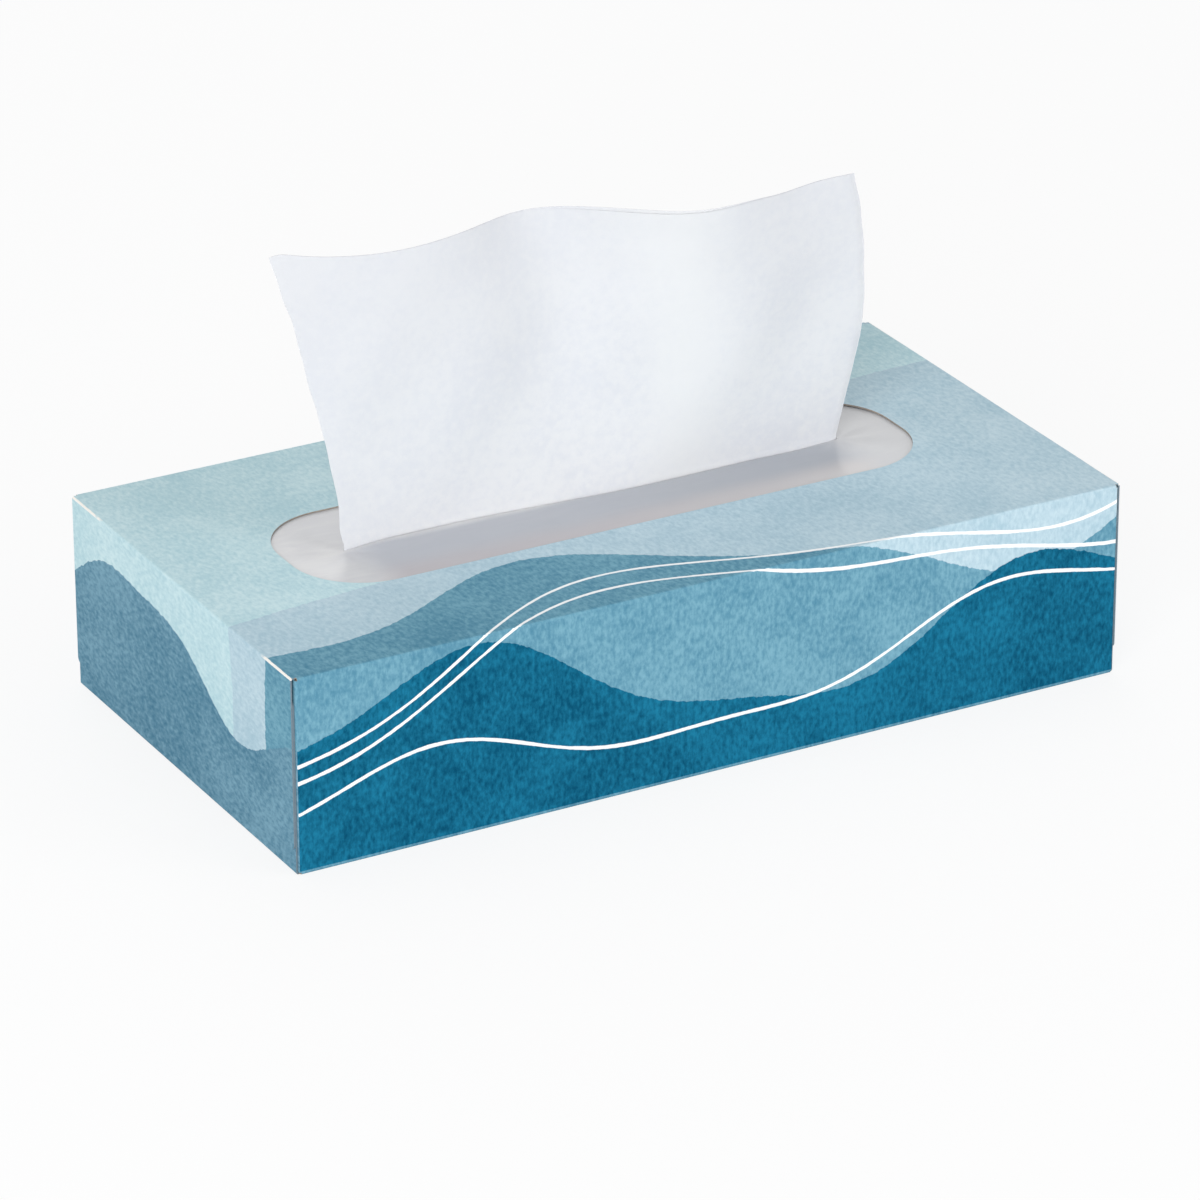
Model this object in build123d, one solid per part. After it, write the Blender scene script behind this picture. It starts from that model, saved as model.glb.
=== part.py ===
"""A flat carton of interfolded paper tissues, opened, with one tissue drawn up through the film.

The carton stands on its bottom panel. The origin is the middle of that panel's outer face, +X runs
along the carton, +Y to its back and +Z up. All sizes are in millimetres.
"""

from build123d import *
from math import pi, sin
import os

# Carton, over its outer faces
LENGTH = 232.0
DEPTH = 122.5
HEIGHT = 51.8
BOARD = 0.4             # paperboard
CREASE_INSIDE = 0.15    # inner radius where the board folds
GLUE = 0.06             # one pressed line of glue

# Flaps
SEAM_FLAP = 14.0        # how far the seam flap reaches in over the bottom panel
FLAP_STRIP = 6.3        # height of the lower end flap that the outer one leaves showing
FLAP_INSET = 0.8        # how far an end flap's side edges stand in from the carton's corners
FLAP_CORNER = 1.6       # rounding of an end flap's free corners
DUST_REACH = 38.0       # reach of a dust flap across the end
DUST_INSET = 0.6        # clearance above and below a dust flap
DUST_CORNER = 7.0       # rounding of a dust flap's free corners
FLAP_ROOT = 5.0         # how far a hinge strip laps into the sleeve that it is one piece with

# Opening in the top panel
OPENING_END_MARGIN = 29.2       # board left between the opening and each end
OPENING_SIDE_MARGIN = 38.45     # board left between the opening and the front or the back
OPENING_END_FLAT = 7.6          # straight stretch of the opening's round end

# Film under the opening
FILM = 0.05
FILM_GLUE_INSET = 2.0   # board left bare between the opening's sides and the glue
FILM_GLUE_WIDTH = 5.0
FILM_EDGE = 2.0         # film that reaches out beyond the glue
SLIT_CLEARANCE = 0.3    # gap between the slit's lips and the tissue

# Pile of tissues
HEADROOM = 9.0          # space between the pile and the film
PILE_END_GAP = 8.0
PILE_SIDE_GAP = 4.5
PILE_FOLDS = 14         # visible bundles of folds down each long side
FOLD_BULGE = 0.8

# Tissue drawn up through the slit
SHEET = 0.25            # two plies
TISSUE_RISE = 75.0      # height of its top edge over the carton
FOOT_INSET = 17.0       # from each end of the opening to the tissue's foot
LEFT_SPREAD = 11.5      # how much further out the top left corner stands than the foot
LEFT_CURVE = 1.6        # how late in its rise the left edge turns outward, as a power
RIGHT_LEAN = 2.2        # how much further in the top right corner stands than the foot
RIGHT_BELLY = 5.0       # how much the right edge bows out half way up
FOOT_STAND_OFF = 0.4    # how far a turned-back side margin's free edge stands off behind, at the slit
TOP_STAND_OFF = 1.6     # and at the top edge
LAID_START = 4.0        # how far behind the slit's middle the hidden half starts
LAID_FOLD = 34.0        # how far it lies forward before it turns back
LAID_TURN = 0.3         # inner radius of that turn
LEVELS = 5              # stretches between the sections through the standing sheet
CURVE_STEPS = 7         # stretches between the points of a curve drawn beside another
# the sheet's waves: the share of its width from the left, its depth at the slit and at the top edge
SHEET_WAVES = [
    (0.0, 1.0, 12.0),
    (0.2, 2.4, 2.6),
    (0.45, 0.3, 8.6),
    (0.6, -0.4, -1.5),
    (0.76, -0.5, -12.6),
    (0.9, -0.2, -10.2),
    (1.0, 0.4, -10.8),
]

# Glue beads, pressed flat
BEAD_WIDTH = 9.0
BEAD_INSET = 9.0        # board left bare at each end of a bead

CREASE = CREASE_INSIDE + BOARD
LAYER = BOARD + GLUE    # one glued layer of board
opening_length = LENGTH - 2 * OPENING_END_MARGIN
opening_width = DEPTH - 2 * OPENING_SIDE_MARGIN
film_top = HEIGHT - LAYER
pile_top = film_top - FILM - HEADROOM
foot_half = opening_length / 2 - FOOT_INSET
sheet_width = LENGTH - 2 * (3 * LAYER + PILE_END_GAP)
flap_reach = HEIGHT - FLAP_STRIP
glue_reach = FILM_GLUE_INSET + FILM_GLUE_WIDTH

# The outer end flap, the lower end flap and the dust flaps lie one behind the other.
outer_end = LENGTH / 2
lower_end = outer_end - LAYER
dust_end = lower_end - LAYER


def folded(corners, plane, width, thickness=BOARD, inside=CREASE_INSIDE):
    """A sheet bent at right angles at its outer line's corners, with its thickness to the line's left."""
    outer = [Vector(*corner) for corner in corners]
    runs = [(end - start).normalized() for start, end in zip(outer, outer[1:])]
    across = [Vector(-run.Y, run.X) * thickness for run in runs]
    shifts = across[:1] + [first + second for first, second in zip(across, across[1:])] + across[-1:]
    inner = [point + shift for point, shift in zip(outer, shifts)]
    outline = [
        FilletPolyline(*outer, radius=inside + thickness),
        Line(outer[-1], inner[-1]),
        FilletPolyline(*inner, radius=inside),
        Line(inner[0], outer[0]),
    ]
    return extrude(plane * make_face(outline), amount=width / 2, both=True)


def sleeve():
    """The four panels wrapped round the pile, closed by the seam flap inside the bottom's back edge."""
    back = DEPTH / 2
    loop = [
        (back - SEAM_FLAP, LAYER),
        (back, LAYER),
        (back, HEIGHT),
        (-back, HEIGHT),
        (-back, 0),
        (back, 0),
    ]
    return folded(loop, Plane.YZ, 2 * (dust_end - CREASE))


def hinged_flap(face_centre, inward, fold_at, reach, width, corner):
    """A panel's end strip and the flap folded inward from it at its end crease."""
    plane = Plane(face_centre, x_dir=(1, 0, 0), z_dir=Vector(1, 0, 0).cross(Vector(*inward)))
    root = dust_end - CREASE - FLAP_ROOT
    flap = folded([(root, 0), (fold_at, 0), (fold_at, reach)], plane, width)
    lengthwise = flap.edges().filter_by(Axis.X)
    free_edges = lengthwise.group_by(lambda edge: edge.center().dot(Vector(*inward)))[-1]
    return fillet(free_edges, corner)


def end_flaps():
    """The four flaps that close the carton's right-hand end."""
    width = DEPTH - 2 * FLAP_INSET
    height = HEIGHT - 2 * DUST_INSET
    outer = hinged_flap((0, 0, HEIGHT), (0, 0, -1), outer_end, flap_reach, width, FLAP_CORNER)
    lower = hinged_flap((0, 0, 0), (0, 0, 1), lower_end, flap_reach, width, FLAP_CORNER)
    flaps = [outer, lower]
    for side in (-1, 1):
        panel = (0, side * DEPTH / 2, HEIGHT / 2)
        flaps.append(hinged_flap(panel, (0, -side, 0), dust_end, DUST_REACH, height, DUST_CORNER))
    return flaps


def carton():
    """The whole carton: one sheet of board, creased, folded and glued."""
    right = end_flaps()
    left = [mirror(flap, about=Plane.YZ) for flap in right]
    board = sleeve().fuse(*right, *left)
    outline = RectangleRounded(opening_length, opening_width, (opening_width - OPENING_END_FLAT) / 2)
    return board - extrude(Pos(0, 0, HEIGHT - BOARD / 2) * outline, amount=BOARD, both=True)


def bead(centre, normal, length):
    """A flat line of glue on a face, along the carton or across its end."""
    along = (1, 0, 0) if normal == (0, 0, 1) else (0, 1, 0)
    return extrude(Plane(centre, x_dir=along, z_dir=normal) * Rectangle(length, BEAD_WIDTH), amount=GLUE)


def seam_glue():
    """The line of glue between the bottom panel and the flat of the seam flap."""
    middle = DEPTH / 2 - (SEAM_FLAP + CREASE) / 2
    return bead((0, middle, BOARD), (0, 0, 1), 2 * (dust_end - CREASE - BEAD_INSET))


def end_glue(side):
    """The glue of one end: between the outer and the lower flap, and on each dust flap."""
    beads = [bead((lower_end, 0, HEIGHT / 2), (1, 0, 0), DEPTH - 2 * (FLAP_INSET + BEAD_INSET))]
    for turn in (-1, 1):
        middle = turn * (DEPTH - DUST_REACH) / 2
        beads.append(bead((dust_end, middle, HEIGHT / 2), (1, 0, 0), DUST_REACH - 2 * BEAD_INSET))
    if side < 0:
        beads = [mirror(each, about=Plane.YZ) for each in beads]
    return Compound(children=beads)


def round_opening(margin):
    """A rectangle that leaves a margin round the opening."""
    return Rectangle(opening_length + 2 * margin, opening_width + 2 * margin)


def film_glue():
    """The four lines of glue that hold the film to the top panel's underside."""
    lines = round_opening(glue_reach) - round_opening(FILM_GLUE_INSET)
    return extrude(Pos(0, 0, film_top) * lines, amount=GLUE)


def sheet_line(level):
    """The line that the standing sheet follows at a share of its rise, seen from above."""
    left = -foot_half - LEFT_SPREAD * level ** LEFT_CURVE
    right = foot_half - RIGHT_LEAN * level + RIGHT_BELLY * sin(pi * level)
    points = [
        (left + (right - left) * share, foot_depth + (top_depth - foot_depth) * level)
        for share, foot_depth, top_depth in SHEET_WAVES
    ]
    return Spline(*points)


def beside(line, start, end, near, far):
    """A curve behind a line, from one share of its length to another, its distance going near to far."""
    points = []
    for step in range(CURVE_STEPS + 1):
        part = step / CURVE_STEPS
        share = start + (end - start) * part
        tangent = line % share
        points.append(line @ share + Vector(-tangent.Y, tangent.X) * (near + (far - near) * part))
    return Spline(*points)


def sheet_section(level):
    """The sheet cut level: the front layer, with both side margins turned back behind it."""
    line = sheet_line(level)
    margin = (sheet_width / line.length - 1) / 2
    crease = SHEET / line.length
    stand_off = FOOT_STAND_OFF + (TOP_STAND_OFF - FOOT_STAND_OFF) * level
    back = SHEET / 2
    behind = back + SHEET
    layers = [
        beside(line, 0, 1, -back, -back),
        beside(line, 1, 1 - margin, behind, behind + stand_off),
        beside(line, 1 - margin, 1 - crease, back + stand_off, back),
        beside(line, 1 - crease, crease, back, back),
        beside(line, crease, margin, back, back + stand_off),
        beside(line, margin, 0, behind + stand_off, behind),
    ]
    outline = []
    for layer, following in zip(layers, layers[1:] + layers[:1]):
        outline.append(layer)
        if (layer @ 1 - following @ 0).length > SHEET / 2:
            outline.append(Line(layer @ 1, following @ 0))
    return make_face(Wire(outline))


def drawn_tissue():
    """The tissue that stands in the slit, and its other half, laid on the pile and turned once."""
    slit_face = Pos(0, 0, HEIGHT) * sheet_section(0)
    sections = [
        Pos(0, 0, HEIGHT + TISSUE_RISE * step / LEVELS) * sheet_section(step / LEVELS)
        for step in range(LEVELS + 1)
    ]
    standing = loft(sections)
    laid_top = pile_top + 2 * (SHEET + LAID_TURN)
    drop = HEIGHT - laid_top + SHEET / 2
    shank = extrude(slit_face, amount=-drop)
    back = DEPTH / 2 - BOARD - PILE_SIDE_GAP
    turn = [(LAID_START, laid_top), (-LAID_FOLD, laid_top), (-LAID_FOLD, pile_top), (back, pile_top)]
    laid = folded(turn, Plane.YZ, 2 * foot_half, SHEET, LAID_TURN)
    return standing.fuse(shank, laid)


def film_window():
    """The film under the opening, slit along its middle, its lips parted by the tissue."""
    sheet = extrude(Pos(0, 0, film_top - FILM) * round_opening(glue_reach + FILM_EDGE), amount=FILM)
    line = sheet_line(0)
    front = -SHEET / 2 - SLIT_CLEARANCE
    back = 3 * SHEET / 2 + FOOT_STAND_OFF + SLIT_CLEARANCE
    lips = [beside(line, 0, 1, front, front), beside(line, 0, 1, back, back)]
    for end, outward in ((0, -1), (1, 1)):
        tip = (lips[0] @ end + lips[1] @ end) / 2 + line % end * outward * 2 * SLIT_CLEARANCE
        lips.append(ThreePointArc(lips[0] @ end, tip, lips[1] @ end))
    slit = make_face(Wire.combine(lips)[0])
    return sheet - extrude(Pos(0, 0, film_top - FILM / 2) * slit, amount=FILM, both=True)


def tissue_pile():
    """The interfolded pile as one block, with the bundles of folds down its two long sides."""
    half_depth = DEPTH / 2 - BOARD - PILE_SIDE_GAP
    bottom = BOARD + LAYER
    pitch = (pile_top - bottom) / PILE_FOLDS
    folds = [
        ThreePointArc(
            (side * half_depth, bottom + pitch * fold),
            (side * (half_depth + FOLD_BULGE), bottom + pitch * (fold + 0.5)),
            (side * half_depth, bottom + pitch * (fold + 1)),
        )
        for side in (-1, 1)
        for fold in range(PILE_FOLDS)
    ]
    caps = [Line((-half_depth, level), (half_depth, level)) for level in (bottom, pile_top)]
    section = make_face(Wire(folds + caps))
    return extrude(Plane.YZ * section, amount=sheet_width / 2, both=True)


nodes = {
    "carton": carton(),
    "seam_glue": seam_glue(),
    "end_glue_left": end_glue(-1),
    "end_glue_right": end_glue(1),
    "film_window": film_window(),
    "film_glue": film_glue(),
    "tissue_pile": tissue_pile(),
    "drawn_tissue": drawn_tissue(),
}

os.makedirs("parts", exist_ok=True)
for name, shape in nodes.items():
    export_step(shape, f"parts/{name}.step")
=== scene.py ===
"""The finished look of an opened carton of paper tissues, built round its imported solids.

The carton is 232 mm long, 122.5 mm deep and 51.8 mm high. It stands on its bottom panel, with the
origin in the middle of that panel's outer face, +X along the carton, +Y to its back and +Z up.
Sizes are in metres. The carton, its glue and the pile of tissues keep their solids and get their
finishes here. The film in the opening and the tissue drawn up through its slit are modelled here.
"""

import logging
import math
from dataclasses import dataclass, field
from enum import Enum
from functools import partial
from typing import Callable, Sequence, Union

import bpy
import numpy as np
from mathutils import Matrix, Vector


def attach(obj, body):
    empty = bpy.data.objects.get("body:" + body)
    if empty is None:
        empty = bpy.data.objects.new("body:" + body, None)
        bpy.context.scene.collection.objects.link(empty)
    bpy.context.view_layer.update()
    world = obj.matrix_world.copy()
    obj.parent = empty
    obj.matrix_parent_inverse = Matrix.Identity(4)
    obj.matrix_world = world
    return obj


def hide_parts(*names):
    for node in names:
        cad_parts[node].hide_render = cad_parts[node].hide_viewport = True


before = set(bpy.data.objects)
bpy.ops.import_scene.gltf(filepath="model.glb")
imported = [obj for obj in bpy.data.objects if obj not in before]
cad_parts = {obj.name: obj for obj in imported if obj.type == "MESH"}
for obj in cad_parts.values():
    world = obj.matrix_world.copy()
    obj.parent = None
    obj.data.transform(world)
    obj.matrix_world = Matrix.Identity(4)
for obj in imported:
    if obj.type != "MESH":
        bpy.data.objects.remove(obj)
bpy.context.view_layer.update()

log = logging.getLogger("tissue_carton")

MM = 0.001
BODY = "root"

# The carton, over its outer faces
HALF_LENGTH = 116.0 * MM
HALF_DEPTH = 61.25 * MM
HEIGHT = 51.8 * MM
LAYER = 0.46 * MM

# The opening and the film under it
OPENING_HALF_LENGTH = 86.8 * MM
OPENING_HALF_WIDTH = 22.8 * MM
FILM_TOP = 51.34 * MM
FILM = 0.05 * MM

# A Mix node's sockets for colours: the share, the two colours and the result
MIX_INPUTS = (0, 6, 7)
MIX_OUTPUT = 2

Number = Union[int, float]
Colour = tuple[float, float, float]


def srgb(code: str) -> Colour:
    """The linear colour of a six-digit web colour, by the usual transfer curve.

    Args:
        code: Six hexadecimal digits, red first.

    Returns:
        Red, green and blue from 0 to 1, linear.
    """
    parts = [int(code[i:i + 2], 16) / 255 for i in (0, 2, 4)]
    return tuple(p / 12.92 if p <= 0.04045 else ((p + 0.055) / 1.055) ** 2.4 for p in parts)


@dataclass(frozen=True)
class Noise:
    """Smooth noise: its patches to the metre, its octaves, how strong each finer one is, its folds."""

    scale: float
    detail: float = 2.0
    rough: float = 0.5
    twist: float = 0.0


class Value:
    """A number or a vector that flows between shader nodes, for use in Python expressions."""

    def __init__(self, tree: bpy.types.NodeTree, socket: bpy.types.NodeSocket) -> None:
        """Wraps one output socket of a node tree."""
        self.tree = tree
        self.socket = socket

    def _maths(self, operation: str, *others: Union["Value", Number], swapped: bool = False) -> "Value":
        """Adds one Math node on this value.

        Args:
            operation: The Math node's operation.
            others: The other inputs, values or numbers.
            swapped: Whether this value is the second input.

        Returns:
            The node's result.
        """
        node = self.tree.nodes.new("ShaderNodeMath")
        node.operation = operation
        inputs = [*others, self] if swapped else [self, *others]
        for slot, item in zip(node.inputs, inputs):
            if isinstance(item, Value):
                self.tree.links.new(item.socket, slot)
            else:
                slot.default_value = item
        return Value(self.tree, node.outputs[0])

    def __add__(self, other: Union["Value", Number]) -> "Value":
        """The sum."""
        return self._maths("ADD", other)

    def __sub__(self, other: Union["Value", Number]) -> "Value":
        """The difference."""
        return self._maths("SUBTRACT", other)

    def __rsub__(self, other: Number) -> "Value":
        """The difference, with this value second."""
        return self._maths("SUBTRACT", other, swapped=True)

    def __mul__(self, other: Union["Value", Number]) -> "Value":
        """The product."""
        return self._maths("MULTIPLY", other)

    def __neg__(self) -> "Value":
        """The value with its sign changed."""
        return self * -1

    __radd__ = __add__
    __rmul__ = __mul__

    def absolute(self) -> "Value":
        """The value without its sign."""
        return self._maths("ABSOLUTE")

    def sign(self) -> "Value":
        """Minus one, nought or one."""
        return self._maths("SIGN")

    def sine(self) -> "Value":
        """The sine of an angle in radians."""
        return self._maths("SINE")

    def least(self, other: Union["Value", Number]) -> "Value":
        """The smaller of two values."""
        return self._maths("MINIMUM", other)

    def most(self, other: Union["Value", Number]) -> "Value":
        """The larger of two values."""
        return self._maths("MAXIMUM", other)

    def above(self, other: Union["Value", Number]) -> "Value":
        """One where this value is larger, else nought."""
        return self._maths("GREATER_THAN", other)

    def below(self, other: Union["Value", Number]) -> "Value":
        """One where this value is smaller, else nought."""
        return self._maths("LESS_THAN", other)

    def ramp(self, start: Number, end: Number) -> "Value":
        """The value's smooth way from nought at one level to one at another.

        Args:
            start: The level that gives nought.
            end: The level that gives one.

        Returns:
            A value from 0 to 1.
        """
        node = self.tree.nodes.new("ShaderNodeMapRange")
        node.interpolation_type = "SMOOTHSTEP"
        self.tree.links.new(self.socket, node.inputs["Value"])
        node.inputs["From Min"].default_value = start
        node.inputs["From Max"].default_value = end
        return Value(self.tree, node.outputs["Result"])


class Surface:
    """One material under construction: its node tree and the few nodes that every finish needs."""

    def __init__(self, name: str) -> None:
        """Makes an empty material with a Principled shader.

        Args:
            name: The material's name.
        """
        self.material = bpy.data.materials.new(name)
        self.material.use_nodes = True
        self.tree = self.material.node_tree
        self.shader = self.tree.nodes["Principled BSDF"]
        coordinates = self.tree.nodes.new("ShaderNodeTexCoord")
        self.place = Value(self.tree, coordinates.outputs["Object"])
        self.normal = Value(self.tree, coordinates.outputs["Normal"])
        self.uv = Value(self.tree, coordinates.outputs["UV"])

    def node(self, kind: str, settings: dict[str, object], inputs: dict[str, object], output: str) -> Value:
        """Adds one node.

        Args:
            kind: The node's type.
            settings: Properties that are set first, such as an operation.
            inputs: Numbers, colours or values for its sockets, by name.
            output: The name of the socket that is wanted.

        Returns:
            That output.
        """
        made = self.tree.nodes.new(kind)
        for key, setting in settings.items():
            setattr(made, key, setting)
        for key, item in inputs.items():
            if isinstance(item, Value):
                self.tree.links.new(item.socket, made.inputs[key])
            else:
                made.inputs[key].default_value = item
        return Value(self.tree, made.outputs[output])

    def split(self, vector: Value) -> tuple[Value, Value, Value]:
        """The three parts of a vector."""
        parts = self.tree.nodes.new("ShaderNodeSeparateXYZ")
        self.tree.links.new(vector.socket, parts.inputs[0])
        return tuple(Value(self.tree, parts.outputs[i]) for i in range(3))

    def join(self, x: object, y: object, z: object) -> Value:
        """A vector from its three parts."""
        return self.node("ShaderNodeCombineXYZ", {}, {"X": x, "Y": y, "Z": z}, "Vector")

    def stretch(self, vector: Value, scale: Sequence[float]) -> Value:
        """Multiplies each part of a vector by its own number.

        Args:
            vector: The vector.
            scale: Three numbers.

        Returns:
            The stretched vector.
        """
        made = self.tree.nodes.new("ShaderNodeVectorMath")
        made.operation = "MULTIPLY"
        self.tree.links.new(vector.socket, made.inputs[0])
        made.inputs[1].default_value = scale
        return Value(self.tree, made.outputs["Vector"])

    def noise(self, place: Value, kind: Noise) -> Value:
        """Smooth noise from 0 to 1.

        Args:
            place: Where it is read, in metres.
            kind: Its grain.

        Returns:
            The noise.
        """
        inputs = {"Vector": place, "Scale": kind.scale, "Detail": kind.detail}
        inputs["Roughness"] = kind.rough
        inputs["Distortion"] = kind.twist
        return self.node("ShaderNodeTexNoise", {"noise_dimensions": "3D"}, inputs, "Fac")

    def mix(self, share: object, first: object, second: object) -> Value:
        """Blends two colours.

        Args:
            share: The second colour's share, from 0 to 1.
            first: A colour or a value.
            second: A colour or a value.

        Returns:
            The blended colour.
        """
        made = self.tree.nodes.new("ShaderNodeMix")
        made.data_type = "RGBA"
        for index, item in zip(MIX_INPUTS, (share, first, second)):
            slot = made.inputs[index]
            if isinstance(item, Value):
                self.tree.links.new(item.socket, slot)
            elif isinstance(item, tuple):
                slot.default_value = (*item, 1.0)
            else:
                slot.default_value = item
        return Value(self.tree, made.outputs[MIX_OUTPUT])

    def paint(self, colour: Value) -> None:
        """Gives the shader its colour."""
        self.tree.links.new(colour.socket, self.shader.inputs["Base Color"])

    def roughen(self, roughness: Value) -> None:
        """Gives the shader a roughness that varies."""
        self.tree.links.new(roughness.socket, self.shader.inputs["Roughness"])

    def emboss(self, height: Value, depth: float, strength: float = 1.0) -> None:
        """Gives the shader a bump.

        Args:
            height: The relief, from 0 to 1.
            depth: How deep it is, in metres.
            strength: How strongly it shows.
        """
        bump = self.tree.nodes.new("ShaderNodeBump")
        bump.inputs["Strength"].default_value = strength
        bump.inputs["Distance"].default_value = depth
        self.tree.links.new(height.socket, bump.inputs["Height"])
        self.tree.links.new(bump.outputs["Normal"], self.shader.inputs["Normal"])

    def set(self, numbers: dict[str, float]) -> None:
        """Sets numbers on the shader's own sockets, by name."""
        for key, number in numbers.items():
            self.shader.inputs[key].default_value = number


@dataclass(frozen=True)
class Ink:
    """One watercolour ink: its palest and its fullest tone."""

    pale: str
    full: str


class Palette(Enum):
    """The inks of the carton's print."""

    AQUA = Ink("D0E8EC", "AED1DA")
    POWDER = Ink("C6DBE4", "A5C3D1")
    MID = Ink("7CADBF", "4F869F")
    SLATE = Ink("7FA8BB", "4A7A92")
    TEAL = Ink("1B7A9C", "004A68")


@dataclass(frozen=True)
class Wave:
    """An edge that runs along the carton as a sum of two sine waves.

    It is read on the unfolded print: `across` is along the carton and `up` is the way up the front
    panel, over the top and down the back.
    """

    level: float
    swell: float
    length: float
    turn: float
    ripple: float = 0.0
    slope: float = 0.0
    ripple_rate: float = 2.3
    ripple_turn: float = 1.7

    def height(self, across: Value) -> Value:
        """How far up the print the edge lies.

        Args:
            across: The place along the carton, in metres.

        Returns:
            The edge's height, in metres.
        """
        rate = math.tau / self.length
        main = (across * rate + self.turn).sine() * self.swell
        second = (across * (rate * self.ripple_rate) + self.turn * self.ripple_turn).sine() * self.ripple
        return main + second + across * self.slope + self.level


@dataclass(frozen=True)
class Wash:
    """One field of ink on the print, to one side of a wave's edge."""

    ink: Palette
    edge: Wave
    side: int
    upright: bool = False

    def beyond(self, across: Value, up: Value) -> Value:
        """How far a place lies inside the field.

        Args:
            across: The place along the print, in metres.
            up: The place up it, in metres.

        Returns:
            The way past the edge, in metres, less than nought outside.
        """
        along, over = (up, across) if self.upright else (across, up)
        return (over - self.edge.height(along)) * self.side


@dataclass(frozen=True)
class PrintedBoard:
    """Matte paperboard with a watercolour print of flowing waves on its outer faces."""

    flecks: Noise = Noise(900, 3, 0.62)
    cloud: Noise = Noise(60, 4, 0.6, 0.4)
    pool: Noise = Noise(14, 2)
    stray: Noise = Noise(420, 3, 0.6)
    fibre: Noise = Noise(1500, 3, 0.6)
    fleck_stretch: float = 0.52
    fleck_weight: float = 1.7
    cloud_weight: float = 0.9
    pool_weight: float = 0.6
    pale_at: float = 1.05
    full_at: float = 2.15
    raggedness: float = 1.6 * MM
    edge: float = 0.12 * MM

    # The thin white lines
    line_half: float = 0.46 * MM
    line_swell: float = 1.2
    line_raggedness: float = 0.2
    line_colour: Colour = (0.95, 0.96, 0.96)

    # Raw edges, the crease under the front panel, and the cracked print at the end creases
    raw_board: str = "8C7F78"
    inside_board: str = "B3ABA0"
    inked_edge: float = 0.6
    crease_line: float = 0.95 * MM
    crease_share: float = 0.8
    crease_turn: float = 0.9
    cracked: str = "F5F2EC"
    crack_reach: float = 16.0 * MM
    crack_stray: float = 8.0 * MM
    crack_fade: float = 2.0 * MM
    crack_width: float = 0.42 * MM
    crack_width_stray: float = 0.3 * MM
    crack_drop: float = 0.5 * MM

    # Which faces are printed, and how they take the light
    skin: float = 0.2 * MM
    outward: float = 0.35
    roughness: float = 0.6
    roughness_range: float = 0.12
    relief: float = 0.02 * MM
    relief_strength: float = 0.3
    gloss: float = 0.05

    # The inks, from the lowest layer to the highest, and the lines over them
    washes: tuple[Wash, ...] = (
        Wash(Palette.POWDER, Wave(118 * MM, 13 * MM, 250 * MM, 0.4, 3 * MM, 0.22), -1),
        Wash(Palette.MID, Wave(62 * MM, 15 * MM, 205 * MM, 2.5, 4 * MM, -0.12), -1),
        Wash(Palette.TEAL, Wave(29 * MM, 14 * MM, 170 * MM, 4.1, 3 * MM, -0.06), -1),
        Wash(Palette.POWDER, Wave(184 * MM, 9 * MM, 190 * MM, 1.0, 3 * MM), 1),
        Wash(Palette.MID, Wave(203 * MM, 8 * MM, 150 * MM, 3.0, 2 * MM), 1),
        Wash(Palette.SLATE, Wave(-134 * MM, 9 * MM, 120 * MM, 0.6, 2 * MM), -1, upright=True),
        Wash(Palette.MID, Wave(139 * MM, 8 * MM, 110 * MM, 2.0, 2 * MM), 1, upright=True),
    )
    lines: tuple[Wave, ...] = (
        Wave(52 * MM, 16 * MM, 230 * MM, 2.2, 3 * MM, 0.10),
        Wave(44 * MM, 15 * MM, 262 * MM, 2.1, 4 * MM, 0.08),
        Wave(20 * MM, 8 * MM, 175 * MM, 4.6, 2 * MM, 0.05),
    )

    def material(self) -> bpy.types.Material:
        """Builds the material.

        Returns:
            The material for the carton's node.
        """
        surface = Surface("printed_board")
        across, up, printed = self.unfold(surface)
        flat = surface.join(across, up, 0.0)
        colour = self.print_on(surface, flat, across, up)
        fibre = surface.noise(surface.place, self.fibre)
        bare = surface.mix(fibre, srgb(self.raw_board), srgb(self.inside_board))
        at_end = surface.split(surface.place)[0].absolute().above(HALF_LENGTH - 2 * LAYER - self.skin)
        bare = surface.mix(at_end * self.inked_edge, bare, srgb(Palette.SLATE.value.full))
        colour = surface.mix(printed, bare, colour)
        surface.paint(surface.mix(self.cracks(surface), colour, srgb(self.cracked)))
        surface.roughen(surface.noise(surface.place, self.stray) * self.roughness_range + self.roughness)
        surface.emboss(fibre, self.relief, self.relief_strength)
        surface.set({"Specular IOR Level": self.gloss})
        return surface.material

    def unfold(self, surface: Surface) -> tuple[Value, Value, Value]:
        """Finds each place on the unfolded print.

        Args:
            surface: The material.

        Returns:
            The place along the print, the place up it, and one on the printed faces.
        """
        x, y, z = surface.split(surface.place)
        nx, ny, nz = surface.split(surface.normal)
        end_face = nx.absolute().above(ny.absolute()) * nx.absolute().above(nz.absolute())
        level_face = nz.absolute().above(ny.absolute()) * (1 - end_face)
        upright_face = 1 - end_face - level_face
        across = x + end_face * x.sign() * (HEIGHT - z)
        over_top = y + (HALF_DEPTH + HEIGHT)
        under_bottom = -y - HALF_DEPTH
        down_back = 2 * (HEIGHT + HALF_DEPTH) - z
        up_level = over_top * nz.above(0) + under_bottom * nz.below(0)
        up_upright = z * y.below(0) + down_back * y.above(0)
        up = level_face * up_level + upright_face * up_upright + end_face * over_top
        at_end = nx * x.sign() * x.absolute().above(HALF_LENGTH - 2 * LAYER - self.skin)
        at_side = ny * y.sign() * y.absolute().above(HALF_DEPTH - self.skin)
        at_top = nz * z.above(HEIGHT - self.skin)
        at_bottom = -nz * z.below(self.skin)
        printed = at_end.most(at_side).most(at_top).most(at_bottom)
        return across, up, printed.above(self.outward)

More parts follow.
